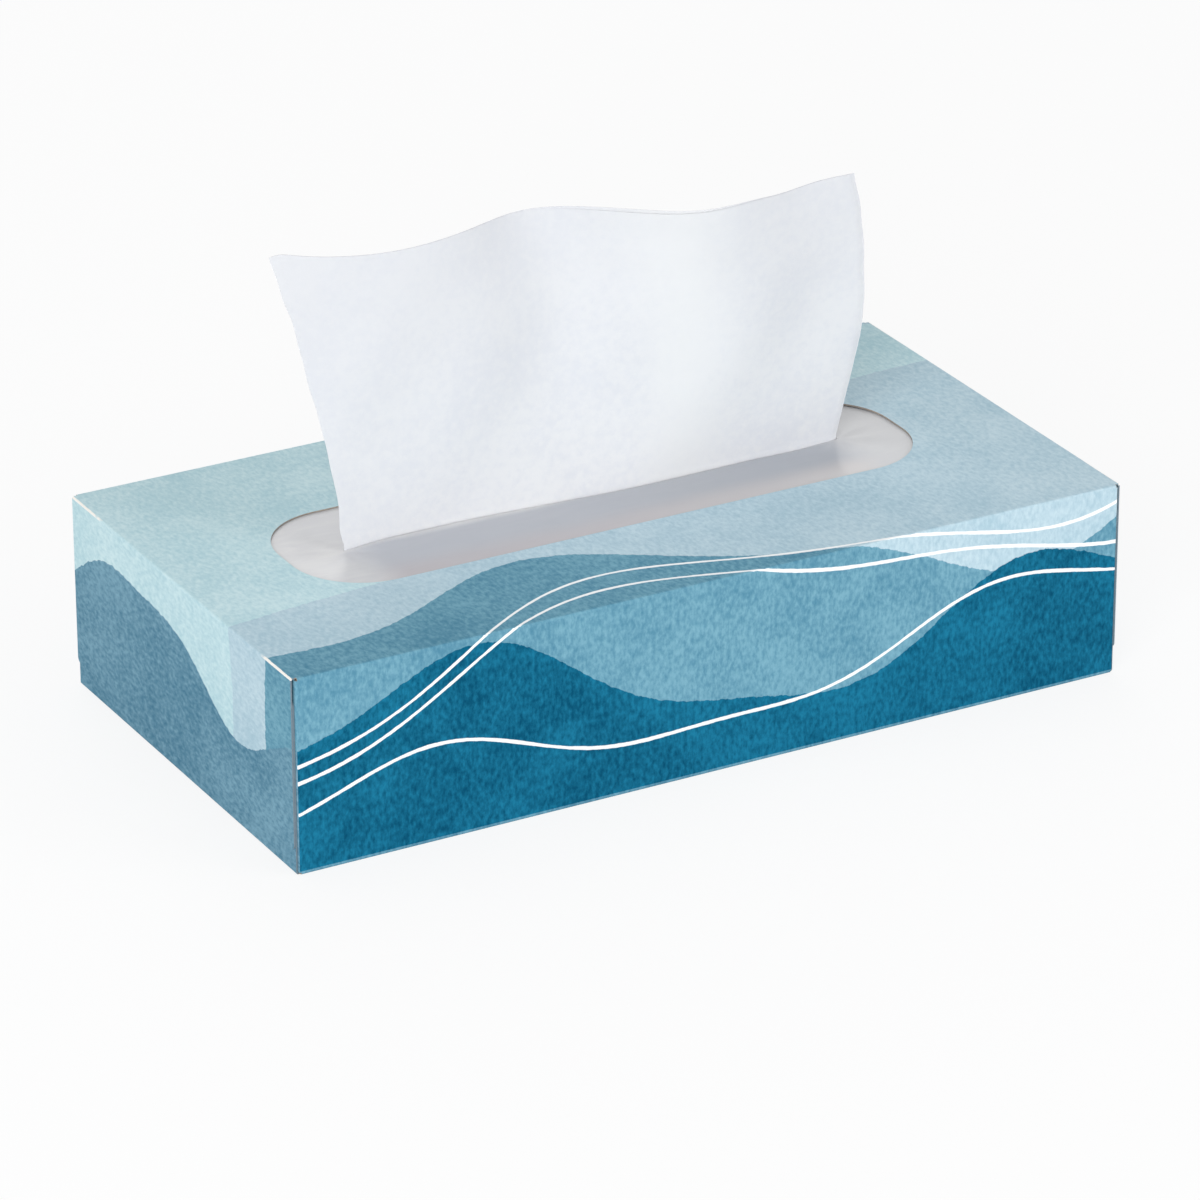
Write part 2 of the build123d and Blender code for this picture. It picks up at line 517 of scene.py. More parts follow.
    def print_on(self, surface: Surface, flat: Value, across: Value, up: Value) -> Value:
        """Lays the inks over each other, from the palest to the darkest, and the thin white lines.

        Args:
            surface: The material.
            flat: The place on the unfolded print.
            across: Its part along the carton.
            up: Its part up the front and over the top.

        Returns:
            The print's colour.
        """
        fleck = surface.noise(surface.stretch(flat, (1.0, self.fleck_stretch, 1.0)), self.flecks)
        cloud = surface.noise(flat, self.cloud)
        pool = surface.noise(flat, self.pool)
        tone = fleck * self.fleck_weight + cloud * self.cloud_weight + pool * self.pool_weight
        tone = tone.ramp(self.pale_at, self.full_at)
        inks = {ink: surface.mix(tone, srgb(ink.value.pale), srgb(ink.value.full)) for ink in Palette}
        ragged = (surface.noise(flat, self.stray) - 0.5) * self.raggedness
        colour = inks[Palette.AQUA]
        for wash in self.washes:
            inside = (wash.beyond(across, up) + ragged).ramp(-self.edge, self.edge)
            colour = surface.mix(inside, colour, inks[wash.ink])
        facing_down = -surface.split(surface.normal)[2]
        at_crease = up.absolute().below(self.crease_line) * facing_down.below(self.crease_turn)
        colour = surface.mix(at_crease * self.crease_share, colour, inks[Palette.MID])
        width = (cloud - 0.5) * (self.line_swell * self.line_half) + self.line_half
        for line in self.lines:
            off = (up - line.height(across) + ragged * self.line_raggedness).absolute() - width
            colour = surface.mix(off.ramp(self.edge, -self.edge), colour, self.line_colour)
        return colour

    def cracks(self, surface: Surface) -> Value:
        """Marks the short stretches of the end creases where the print has cracked white.

        Args:
            surface: The material.

        Returns:
            One on the cracks, else nought.
        """
        x, y, z = surface.split(surface.place)
        from_corner = HALF_DEPTH - y.absolute()
        stray = surface.noise(surface.place, self.stray) - 0.5
        reach = from_corner + stray * self.crack_stray
        reach = reach.ramp(self.crack_reach + self.crack_fade, self.crack_reach - self.crack_fade)
        at_end = x.absolute().above(stray * self.crack_width_stray + (HALF_LENGTH - self.crack_width))
        return at_end * z.above(HEIGHT - self.crack_drop) * reach


@dataclass(frozen=True)
class TissuePaper:
    """Two-ply tissue paper: cool white, faintly cloudy, with a fine lay of fibres; the drawn sheet also gets
    painted shade towards its top and left and a painted highlight band.
    """

    light: str = "E3E4E6"
    shade: str = "DBDDE2"
    shade_at: float = 0.34
    light_at: float = 0.62
    # Painted shade: the drawn sheet's colour darkens towards its top and its left, where the key light falls
    # strongest
    dim: str = "CDCFD4"
    slit_share: float = 0.64
    top_shading: float = 0.42
    left_shading: float = 0.2
    left_from: float = 0.45
    left_to: float = 0.12
    # Painted highlight: a lighter band down the drawn sheet, where a fold catches the light
    highlight_band: str = "E3E4E5"
    highlight_band_place: float = 0.62
    highlight_band_half: float = 0.085
    highlight_band_wander: float = 0.12
    highlight_band_share: float = 0.75
    fold_line: str = "AEB6C2"
    fold_height: float = 0.7 * MM
    fold_wander: float = 1.2 * MM
    fold_line_from: float = 0.55
    fold_line_share: float = 0.35
    cloud: Noise = Noise(32, 4, 0.55, 0.5)
    mottle: Noise = Noise(480, 4, 0.62)
    fibre: Noise = Noise(1400, 4, 0.7, 0.3)
    wander: Noise = Noise(60, 2)
    fibre_stretch: tuple[float, float, float] = (1.0, 1.0, 0.4)
    fibre_height: float = 0.6
    mottle_height: float = 0.5
    relief: float = 0.06 * MM
    relief_strength: float = 0.5
    roughness: float = 0.9
    gloss: float = 0.1
    sheen: float = 0.08

    def material(self, name: str, folded_edges: bool = False) -> bpy.types.Material:
        """Builds the material.

        Args:
            name: The material's name.
            folded_edges: Whether the sheets' edges show as fine level lines, as down a pile's sides.

        Returns:
            The material.
        """
        surface = Surface(name)
        cloud = surface.noise(surface.place, self.cloud)
        mottle = surface.noise(surface.place, self.mottle)
        tone = (cloud * 0.5 + mottle * 0.5).ramp(self.shade_at, self.light_at)
        colour = surface.mix(tone, srgb(self.shade), srgb(self.light))
        fibres = surface.noise(surface.stretch(surface.place, self.fibre_stretch), self.fibre)
        height = fibres * self.fibre_height + mottle * self.mottle_height
        # The drawn sheet only: painted shade towards its top and left, then a painted highlight band
        if not folded_edges:
            over, up, _ = surface.split(surface.uv)
            shading = up.ramp(self.slit_share, 1.0) * self.top_shading
            shading = shading + over.ramp(self.left_from, self.left_to) * self.left_shading
            colour = surface.mix(shading, colour, srgb(self.dim))
            # Painted highlight band down the sheet
            off = (over - self.highlight_band_place + (cloud - 0.5) * self.highlight_band_wander).absolute()
            colour = surface.mix(off.ramp(self.highlight_band_half, 0.0) * self.highlight_band_share, colour, srgb(self.highlight_band))
        if folded_edges:
            z = surface.split(surface.place)[2]
            wander = surface.noise(surface.place, self.wander) * self.fold_wander
            edges = ((z + wander) * (math.tau / self.fold_height)).sine() * 0.5 + 0.5
            lined = edges.ramp(self.fold_line_from, 0.0) * self.fold_line_share
            colour = surface.mix(lined, colour, srgb(self.fold_line))
            height = height + edges
        surface.paint(colour)
        surface.emboss(height, self.relief, self.relief_strength)
        numbers = {"Roughness": self.roughness, "Specular IOR Level": self.gloss}
        surface.set({**numbers, "Sheen Weight": self.sheen})
        return surface.material


@dataclass(frozen=True)
class PaleFilm:
    """Thin polyethylene film: milky grey and satin, with a painted shadow in front of the drawn tissue, a
    painted highlight along its near edge at the right and painted shade towards its right end.
    """

    clear: str = "DADADA"
    milky: str = "CDCDD0"
    # Painted shade: the film darkens towards its right end
    dim: str = "C2C3C5"
    # Painted shadow of the drawn tissue on the film in front of it: paler at the left, deeper at the right,
    # warm grey towards the opening's near edge
    pale_shadow: str = "B7BAC1"
    shaded: str = "ACB0B7"
    warm: str = "BFB6B7"
    # Painted highlight along the opening's near edge, towards the right
    painted_gleam: str = "D2CECC"
    streak: Noise = Noise(260, 3, 0.6, 0.8)
    streak_stretch: tuple[float, float, float] = (0.25, 1.0, 1.0)
    streak_depth: float = 0.3
    streak_floor: float = 0.78
    cloud: Noise = Noise(40, 3)
    milky_at: float = 0.3
    clear_at: float = 0.7
    right_shading: float = 0.7
    pale_shadow_half: float = 68.0 * MM
    soft_end: float = 7.0 * MM
    soft_lip: float = 1.5 * MM
    lip_wander: float = 0.1
    warm_from: float = -9.0 * MM
    warm_to: float = -21.0 * MM
    warm_wander: float = 0.3
    warm_share: float = 0.7
    painted_gleam_share: float = 0.8
    roughness: float = 0.3
    roughness_range: float = 0.15
    relief: float = 0.08 * MM
    relief_strength: float = 0.35
    ior: float = 1.45
    gloss: float = 0.4
    coat: float = 0.15
    coat_roughness: float = 0.25

    def material(self) -> bpy.types.Material:
        """Builds the material.

        Returns:
            The material.
        """
        surface = Surface("film")
        x, y, _ = surface.split(surface.place)
        streaks = surface.noise(surface.stretch(surface.place, self.streak_stretch), self.streak)
        cloud = surface.noise(surface.place, self.cloud)
        wander = (cloud - 0.5) * (2 * self.soft_end)
        reach = self.pale_shadow_half
        ends = (x.absolute() + wander).ramp(reach + self.soft_end, reach - self.soft_end)
        rightward = x.ramp(-reach, reach)
        ahead = (y + wander * self.lip_wander).ramp(self.soft_lip, -self.soft_lip)
        clearness = (streaks * 0.5 + cloud * 0.5).ramp(self.milky_at, self.clear_at)
        colour = surface.mix(clearness, srgb(self.milky), srgb(self.clear))
        # Painted shade, darker towards the film's right end
        colour = surface.mix(rightward * self.right_shading, colour, srgb(self.dim))
        # Painted shadow in front of the tissue's foot, turning warm grey towards the opening's near edge
        near = surface.mix(rightward, srgb(self.pale_shadow), srgb(self.shaded))
        to_edge = (y + wander * self.warm_wander).ramp(self.warm_from, self.warm_to)
        near = surface.mix(to_edge * self.warm_share, near, srgb(self.warm))
        # Painted highlight along the near edge, growing towards the right
        near = surface.mix(to_edge * rightward * rightward * self.painted_gleam_share, near, srgb(self.painted_gleam))
        streaked = (streaks * self.streak_depth + self.streak_floor).least(1.0)
        surface.paint(surface.mix(ahead * ends * streaked, colour, near))
        surface.roughen(cloud * self.roughness_range + self.roughness)
        surface.emboss(streaks, self.relief, self.relief_strength)
        numbers = {"IOR": self.ior, "Specular IOR Level": self.gloss}
        surface.set({**numbers, "Coat Weight": self.coat, "Coat Roughness": self.coat_roughness})
        return surface.material


@dataclass(frozen=True)
class DriedGlue:
    """Hot-melt glue, pressed flat: cream, faintly translucent, with small bubbles."""

    thin: str = "DDD3B8"
    thick: str = "C9B98F"
    bubble: str = "EFE9DA"
    pool: Noise = Noise(180, 3, 0.6)
    bubbles: Noise = Noise(1100, 2)
    bubble_from: float = 0.62
    bubble_to: float = 0.7
    bubble_share: float = 0.4
    bubble_height: float = 0.3
    roughness: float = 0.25
    roughness_range: float = 0.2
    relief: float = 0.03 * MM
    relief_strength: float = 0.4

    def material(self) -> bpy.types.Material:
        """Builds the material.

        Returns:
            The material.
        """
        surface = Surface("glue")
        pool = surface.noise(surface.place, self.pool)
        bubbles = surface.noise(surface.place, self.bubbles).ramp(self.bubble_from, self.bubble_to)
        colour = surface.mix(pool, srgb(self.thin), srgb(self.thick))
        surface.paint(surface.mix(bubbles * self.bubble_share, colour, srgb(self.bubble)))
        surface.roughen(pool * self.roughness_range + self.roughness)
        surface.emboss(pool + bubbles * self.bubble_height, self.relief, self.relief_strength)
        return surface.material


def grid_piece(
    name: str,
    columns: int,
    rows: int,
    place: Callable[[np.ndarray, np.ndarray], np.ndarray],
) -> bpy.types.Object:
    """Adds a grid and moves its points onto a surface.

    Args:
        name: The piece's name.
        columns: How many faces it has across.
        rows: How many faces it has up.
        place: Gives the points, N by 3, from two shares that run from 0 to 1.

    Returns:
        The object, at the origin, with a UV map of the two shares.
    """
    bpy.ops.object.select_all(action="DESELECT")
    bpy.ops.mesh.primitive_grid_add(x_subdivisions=columns, y_subdivisions=rows, size=1.0)
    piece = bpy.context.object
    piece.name = name
    piece.data.name = name
    points = np.empty(len(piece.data.vertices) * 3)
    piece.data.vertices.foreach_get("co", points)
    shares = points.reshape(-1, 3)[:, :2] + 0.5
    moved = place(shares[:, 0], shares[:, 1])
    piece.data.vertices.foreach_set("co", moved.ravel())
    piece.data.update()
    return piece


def apply_modifier(piece: bpy.types.Object, kind: str, **settings: object) -> None:
    """Adds one modifier to a piece and applies it.

    Args:
        piece: The object.
        kind: The modifier's type.
        settings: Its properties.
    """
    bpy.ops.object.select_all(action="DESELECT")
    piece.select_set(True)
    bpy.context.view_layer.objects.active = piece
    modifier = piece.modifiers.new(kind.lower(), kind)
    for key, setting in settings.items():
        setattr(modifier, key, setting)
    bpy.ops.object.modifier_apply(modifier=modifier.name)


def smooth(piece: bpy.types.Object, angle: float) -> None:
    """Shades a piece smooth, apart from edges sharper than an angle.

    Args:
        piece: The object.
        angle: The sharpest bend that is shaded smooth, in degrees.
    """
    bpy.ops.object.select_all(action="DESELECT")
    piece.select_set(True)
    bpy.context.view_layer.objects.active = piece
    bpy.ops.object.shade_smooth_by_angle(angle=math.radians(angle))


def finish_piece(piece: bpy.types.Object, material: bpy.types.Material, slot: str, *nodes: str) -> None:
    """Dresses a new piece, hangs it on the carton and hides the solids that it replaces.

    Args:
        piece: The object.
        material: Its finish.
        slot: Not used.
        nodes: The solids that it replaces.
    """
    piece.data.materials.clear()
    piece.data.materials.append(material)
    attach(piece, BODY)
    if nodes:
        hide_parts(*nodes)
    log.info("piece %s: %d faces", piece.name, len(piece.data.polygons))


def curve_through(stations: Sequence[float], levels: Sequence[float]) -> Callable[[np.ndarray], np.ndarray]:
    """A smooth curve through a few points, with level tangents of a natural spline.

    Args:
        stations: Rising places.
        levels: The curve's value at each.

    Returns:
        A function that gives the curve's value at any places.
    """
    t = np.asarray(stations, float)
    v = np.asarray(levels, float)
    count = len(t)
    gaps = np.diff(t)
    matrix = np.eye(count)
    right = np.zeros(count)
    for i in range(1, count - 1):
        matrix[i, i - 1:i + 2] = gaps[i - 1], 2 * (gaps[i - 1] + gaps[i]), gaps[i]
        right[i] = 6 * ((v[i + 1] - v[i]) / gaps[i] - (v[i] - v[i - 1]) / gaps[i - 1])
    bend = np.linalg.solve(matrix, right)

    def value(at: np.ndarray) -> np.ndarray:
        """Reads the curve.

        Args:
            at: The places.

        Returns:
            The curve's value at each.
        """
        i = np.clip(np.searchsorted(t, at) - 1, 0, count - 2)
        g = gaps[i]
        a = (t[i + 1] - at) / g
        b = 1 - a
        curl = ((a ** 3 - a) * bend[i] + (b ** 3 - b) * bend[i + 1]) * g ** 2 / 6
        return a * v[i] + b * v[i + 1] + curl

    return value


@dataclass(frozen=True)
class Ripple:
    """One sine wave over two coordinates: its rate along each, its turn and its height."""

    first: float
    second: float
    turn: float
    height: float

    def at(self, one: np.ndarray, other: np.ndarray) -> np.ndarray:
        """The wave's value at some places."""
        return self.height * np.sin(one * self.first + other * self.second + self.turn)


def bell(at: np.ndarray, middle: float, reach: float) -> np.ndarray:
    """A smooth bump of height one, with its middle and the reach of its sides."""
    return np.exp(-((at - middle) / reach) ** 2)


@dataclass
class DrawnTissue:
    """The tissue that stands in the slit, its side margins turned back behind, in two plies."""

    rise: float = 75.0 * MM
    foot_half: float = 69.8 * MM
    left_spread: float = 13.4 * MM
    left_curve: float = 1.38
    right_lean: float = 2.2 * MM
    right_belly: float = 5.0 * MM
    sheet_width: float = 213.24 * MM
    sheet_length: float = 208.0 * MM

    # The side margins, turned back behind
    fold_gap: float = 0.25 * MM
    foot_stand_off: float = 0.4 * MM
    top_stand_off: float = 1.6 * MM
    margin_drop: float = 1.5 * MM
    margin_drop_rate: float = 6.0

    # The corners, the lower edge of the front ply, and small irregularities
    corner_flare: float = 0.3 * MM
    flare_depth: float = 0.12
    corner_drop: float = 1.3 * MM
    corner_share: float = 0.025
    foot_flare: float = 1.0 * MM
    foot_flare_level: float = 0.05
    foot_flare_reach: float = 0.06
    ply_step: float = 0.9 * MM
    ply_step_place: float = 0.62
    ply_step_reach: float = 0.16
    waver: float = 0.3 * MM
    left_waver: tuple[Ripple, ...] = (Ripple(19.0, 0.0, 0.4, 1.0), Ripple(43.0, 0.0, 0.0, 0.6))
    right_waver: tuple[Ripple, ...] = (Ripple(15.0, 0.0, 2.0, 1.0), Ripple(37.0, 0.0, 0.0, 0.5))
    dimple: float = 0.45 * MM
    dimples: tuple[Ripple, ...] = (Ripple(14.0, 5.0, 0.0, 1.0), Ripple(26.0, -8.0, 1.0, 0.6))
    margin_power: int = 4
    edge_power: int = 8
    corner_power: int = 12

    # The hidden half, laid on the pile
    laid_top: float = 43.39 * MM
    pile_top: float = 42.29 * MM
    laid_fold: float = 34.0 * MM
    laid_back: float = 56.35 * MM
    laid_drop: float = 0.12 * MM
    bend_reach: float = 1.5 * MM
    turn_reach: float = 1.0 * MM

    # The two plies and their grids
    ply: float = 0.1 * MM
    ply_offset: float = 0.07 * MM
    smooth_angle: float = 60.0
    columns: int = 210
    margin_columns: int = 31
    rows: int = 150

    # The sheet's depth in millimetres at shares of its width, at the slit and at its top edge
    stations: tuple[float, ...] = (0.0, 0.2, 0.33, 0.45, 0.6, 0.76, 0.9, 1.0)
    foot_depths: tuple[float, ...] = (1.0, 2.4, 1.5, 0.3, -0.4, -0.5, -0.2, 0.4)
    top_depths: tuple[float, ...] = (12.0, 2.6, 3.2, 7.6, -1.5, -12.6, -10.2, -10.8)

    # How far its top edge rises or dips in millimetres, at shares of its width
    edge_stations: tuple[float, ...] = (0.0, 0.05, 0.1, 0.2, 0.3, 0.47, 0.62, 0.7, 0.8, 0.87, 0.93, 1.0)
    edge_rises: tuple[float, ...] = (0.9, -0.4, -1.1, -1.1, 0.0, 0.45, -0.65, -1.05, -0.3, -0.7, 0.0, 0.5)

    # The steps in which the sheet's line is measured
    line_steps: int = 240
    line_marks: int = 12
    tangent_step: float = 1e-3
    least_margin: float = 1e-6

    def line(self, level: np.ndarray, share: np.ndarray) -> tuple[np.ndarray, np.ndarray]:
        """The line that the sheet follows, seen from above.

        Args:
            level: The share of the rise.
            share: The share of the width, from the left crease to the right.

        Returns:
            The places along the carton and to its back.
        """
        left = -self.foot_half - self.left_spread * level ** self.left_curve
        left = left - self.corner_flare * bell(level, 1.0, self.flare_depth)
        left = left - self.foot_flare * bell(level, self.foot_flare_level, self.foot_flare_reach)
        left = left + self.waver * level * sum(wave.at(level, level) for wave in self.left_waver)
        right = self.foot_half - self.right_lean * level + self.right_belly * np.sin(np.pi * level)
        right = right + self.waver * level * sum(wave.at(level, level) for wave in self.right_waver)
        foot = curve_through(self.stations, self.foot_depths)(share) * MM
        top = curve_through(self.stations, self.top_depths)(share) * MM
        soft = sum(wave.at(share, level) for wave in self.dimples)
        depth = foot + (top - foot) * level + self.dimple * np.sin(np.pi * level) * soft
        return left + (right - left) * share, depth

    def place(self, across: np.ndarray, along: np.ndarray, offset: float) -> np.ndarray:
        """Puts the sheet's points where it stands, hangs and lies.

        Args:
            across: The share of the sheet's width, from its left edge.
            along: The share of its length, from its top edge.
            offset: How far behind the sheet's middle this ply lies.

        Returns:
            The points, N by 3.
        """
        from_top = along * self.path_length()
        level = np.clip(1 - from_top / self.rise, 0, 1)
        length = self.line_length(level)
        margin = np.maximum((self.sheet_width / length - 1) / 2, 0)
        folded_share = self.margin_columns / self.columns
        arc = np.interp(across, [folded_share, 1 - folded_share], [0.0, 1.0])
        arc = arc - margin * np.clip(1 - across / folded_share, 0, 1)
        arc = arc + margin * np.clip(1 - (1 - across) / folded_share, 0, 1)
        folded = np.where(arc < 0, -arc, np.where(arc > 1, 2 - arc, arc))
        behind = np.where((arc < 0) | (arc > 1), 1.0, 0.0)
        out = np.where(arc < 0, -arc, np.where(arc > 1, arc - 1, 0)) / np.maximum(margin, self.least_margin)
        x, y = self.line(level, folded)
        ahead_x, ahead_y = self.line(level, folded + self.tangent_step)
        tangent = np.stack([ahead_x - x, ahead_y - y])
        tangent /= np.linalg.norm(tangent, axis=0)
        stand_off = self.foot_stand_off + (self.top_stand_off - self.foot_stand_off) * level
        back = behind * (self.fold_gap + stand_off * out) + offset * (1 - 2 * behind)
        z, forward, down_normal = self.fall(from_top)
        step = self.ply_step * bell(folded, self.ply_step_place, self.ply_step_reach) * (offset < 0)
        drop = behind * self.margin_drop * np.clip(self.margin_drop_rate * out, 0, 1) + (1 - behind) * step
        corner = self.corner_drop * np.clip(1 - folded / self.corner_share, 0, 1) ** 2
        rise = curve_through(self.edge_stations, self.edge_rises)(folded) * MM
        z = z - level ** self.margin_power * drop - level ** self.corner_power * corner
        z = z + level ** self.edge_power * rise
        x = x - tangent[1] * back
        y = y + tangent[0] * back * (1 - down_normal) - forward
        z = z - back * down_normal
        return np.stack([x, y, z], axis=1)

    def path_length(self) -> float:
        """The length of the modelled sheet from its top edge to its hidden edge."""
        return self.rise + (HEIGHT - self.laid_top) + self.laid_fold + self.laid_fold + self.laid_back

    def line_length(self, level: np.ndarray) -> np.ndarray:
        """Measures the sheet's line from crease to crease.

        Args:
            level: The shares of the rise where it is wanted.

        Returns:
            The length at each.
        """
        steps = np.linspace(0, 1, self.line_steps)
        marks = np.linspace(0, 1, self.line_marks)
        lengths = []
        for mark in marks:
            x, y = self.line(np.full_like(steps, mark), steps)
            lengths.append(np.hypot(np.diff(x), np.diff(y)).sum())
        return np.interp(level, marks, lengths)

    def fall(self, from_top: np.ndarray) -> tuple[np.ndarray, np.ndarray, np.ndarray]:
        """Follows the sheet down through the slit, forward over the pile and back under itself.

        Args:
            from_top: The way along the sheet from its top edge.

        Returns:
            The height, how far forward it lies, and how far its back faces down, from 0 to 1.
        """
        shank = self.rise + HEIGHT - self.laid_top
        laid = shank + self.laid_fold
        z = HEIGHT + self.rise - np.minimum(from_top, shank)
        forward = np.clip(from_top - shank, 0, self.laid_fold)
        back_again = np.maximum(from_top - laid, 0)
        forward = forward - back_again
        under = np.clip(back_again / self.turn_reach, 0, 1)
        z = z - under * (self.laid_top - self.pile_top - self.fold_gap)
        lying = np.clip((from_top - shank) / self.bend_reach, 0, 1)
        return z - self.laid_drop * lying, forward, lying * (1 - 2 * under)

    def build(self, paper: bpy.types.Material) -> None:
        """Makes both plies.

        Args:
            paper: The finish.
        """
        plies = (
            ("tissue_front_ply", -self.ply_offset, ["drawn_tissue"]),
            ("tissue_back_ply", self.ply_offset, []),
        )
        for name, offset, nodes in plies:
            piece = grid_piece(name, self.columns, self.rows, lambda a, b, o=offset: self.place(a, 1 - b, o))
            apply_modifier(piece, "SOLIDIFY", thickness=self.ply, offset=0.0)
            smooth(piece, self.smooth_angle)
            finish_piece(piece, paper, "tissue_paper", *nodes)


@dataclass
class FilmWindow:
    """The film under the opening, slit along its middle and rippled by the pull of the tissues."""

    half_length: float = 95.8 * MM
    half_width: float = 31.8 * MM

    # The slit and its parted lips
    slit_half: float = 70.4 * MM
    slit_power: int = 8
    front_gap: float = 0.45 * MM
    back_gap: float = 1.2 * MM
    lip_fade: float = 0.3

    # The sag between the lines of glue, and its ripples
    glued_back: float = 1.5 * MM
    end_reach: float = 14.0 * MM
    sag: float = 0.7 * MM
    sag_power: float = 1.5
    ripples: tuple[Ripple, ...] = (
        Ripple(1 / (7.3 * MM), 1 / (5.1 * MM), 0.0, 0.30 * MM),
        Ripple(1 / (11.7 * MM), -1 / (8.3 * MM), 1.3, 0.22 * MM),
        Ripple(1 / (4.1 * MM), 1 / (9.7 * MM), 0.5, 0.12 * MM),
    )
    ripple_middle: float = 0.25
    ripple_gain: float = 1.2
    ripple_from: float = 0.55

    # The star of wrinkles at each end of the slit
    wrinkle: float = 0.10 * MM
    wrinkle_reach: float = 9.0 * MM
    wrinkle_count: int = 7
    wrinkle_turn: float = 0.8

    # The joined halves and their grids
    weld: float = 0.01 * MM
    smooth_angle: float = 40.0
    columns: int = 260
    rows: int = 45

    def build(self, tissue: DrawnTissue, film: bpy.types.Material) -> None:
        """Makes the film's front and back halves and joins them past the slit's ends.

        Args:
            tissue: The tissue whose foot parts the slit.
            film: The finish.
        """
        halves = []
        for side in (-1, 1):
            place = partial(self.half, side=side, tissue=tissue)
            halves.append(grid_piece("film_half", self.columns, self.rows, place))
        bpy.ops.object.select_all(action="DESELECT")
        for half in halves:
            half.select_set(True)
        bpy.context.view_layer.objects.active = halves[0]
        bpy.ops.object.join()
        piece = bpy.context.object
        piece.name = "film"
        piece.data.name = "film"
        apply_modifier(piece, "WELD", merge_threshold=self.weld)
        apply_modifier(piece, "SOLIDIFY", thickness=FILM, offset=-1.0)
        smooth(piece, self.smooth_angle)
        finish_piece(piece, film, "film", "film_window")

    def half(self, across: np.ndarray, out: np.ndarray, side: int, tissue: DrawnTissue) -> np.ndarray:
        """Puts the points of one half of the film.

        Args:
            across: The share of the film's length.
            out: The share of the way from the slit to the film's edge, or back for the front half.
            side: Minus one for the front half and one for the back.
            tissue: The tissue in the slit.

        Returns:
            The points, N by 3.
        """
        way = out if side > 0 else 1 - out
        x = (across * 2 - 1) * self.half_length
        share = np.clip((x + tissue.foot_half) / (2 * tissue.foot_half), 0, 1)
        _, foot_y = tissue.line(np.zeros_like(share), share)
        open_share = np.sqrt(np.clip(1 - (x / self.slit_half) ** self.slit_power, 0, 1))
        gap = (self.back_gap if side > 0 else self.front_gap) * open_share
        lip = foot_y * np.clip(1 + self.lip_fade * (1 - (x / self.slit_half) ** 2), 0, 1) + side * gap
        y = lip + (side * self.half_width - lip) * way
        return np.stack([x, y, FILM_TOP - self.sink(x, y)], axis=1)

    def sink(self, x: np.ndarray, y: np.ndarray) -> np.ndarray:
        """How far the film sags and ripples below the top panel.

        Args:
            x: Along the carton.
            y: To the back.

        Returns:
            The depth under the film's glued level, in metres.
        """
        free = np.clip((OPENING_HALF_WIDTH + self.glued_back - np.abs(y)) / OPENING_HALF_WIDTH, 0, 1)
        free_end = np.clip((OPENING_HALF_LENGTH + self.glued_back - np.abs(x)) / self.end_reach, 0, 1)
        free = np.sin(free * np.pi / 2) ** self.sag_power * np.sin(free_end * np.pi / 2)
        ripples = sum(wave.at(x, y) for wave in self.ripples)
        near_end = np.clip(np.abs(x) / self.slit_half - self.ripple_from, 0, 1)
        past = np.abs(x) - self.slit_half
        away = np.hypot(past, y)
        turn = np.arctan2(y, past)
        star = np.sin(self.wrinkle_count * turn + self.wrinkle_turn)
        star = star * bell(away, self.wrinkle_reach, self.wrinkle_reach)
        rippled = ripples * (self.ripple_middle + self.ripple_gain * near_end)
        return free * (self.sag + rippled + self.wrinkle * star)


@dataclass
class CartonFinish:
    """The finishes of the solids that keep their own shape."""

    board: PrintedBoard = field(default_factory=PrintedBoard)
    glue: DriedGlue = field(default_factory=DriedGlue)
    paper: TissuePaper = field(default_factory=TissuePaper)
    glue_nodes: tuple[str, ...] = ("seam_glue", "end_glue_left", "end_glue_right", "film_glue")

    def dress(self) -> None:
        """Gives each solid its material."""
        glue = self.glue.material()
        finishes = {"carton": (self.board.material(), "printed_board")}
        finishes["tissue_pile"] = (self.paper.material("tissue_pile", folded_edges=True), "tissue_paper")
        for name in self.glue_nodes:
            finishes[name] = (glue, "glue")
        for name, (material, slot) in finishes.items():
            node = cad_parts[name]
            node.data.materials.clear()
            node.data.materials.append(material)
            log.info("solid %s: %s", name, material.name)


@dataclass(frozen=True)
class Lamp:
    """One round soft lamp: its place and size in metres and its power in watts."""

    name: str
    place: tuple[float, float, float]
    size: float
    power: float

    def light(self, target: tuple[float, float, float]) -> None:
        """Adds the lamp to the scene.

        Args:
            target: The point that it faces, in metres.
        """
        data = bpy.data.lights.new(self.name, "AREA")
        data.shape = "DISK"
        data.size = self.size
        data.energy = self.power
        lamp = bpy.data.objects.new(self.name, data)
        bpy.context.scene.collection.objects.link(lamp)
        turned = (Vector(target) - Vector(self.place)).to_track_quat("-Z", "Y").to_matrix().to_4x4()
        lamp.matrix_world = Matrix.Translation(self.place) @ turned


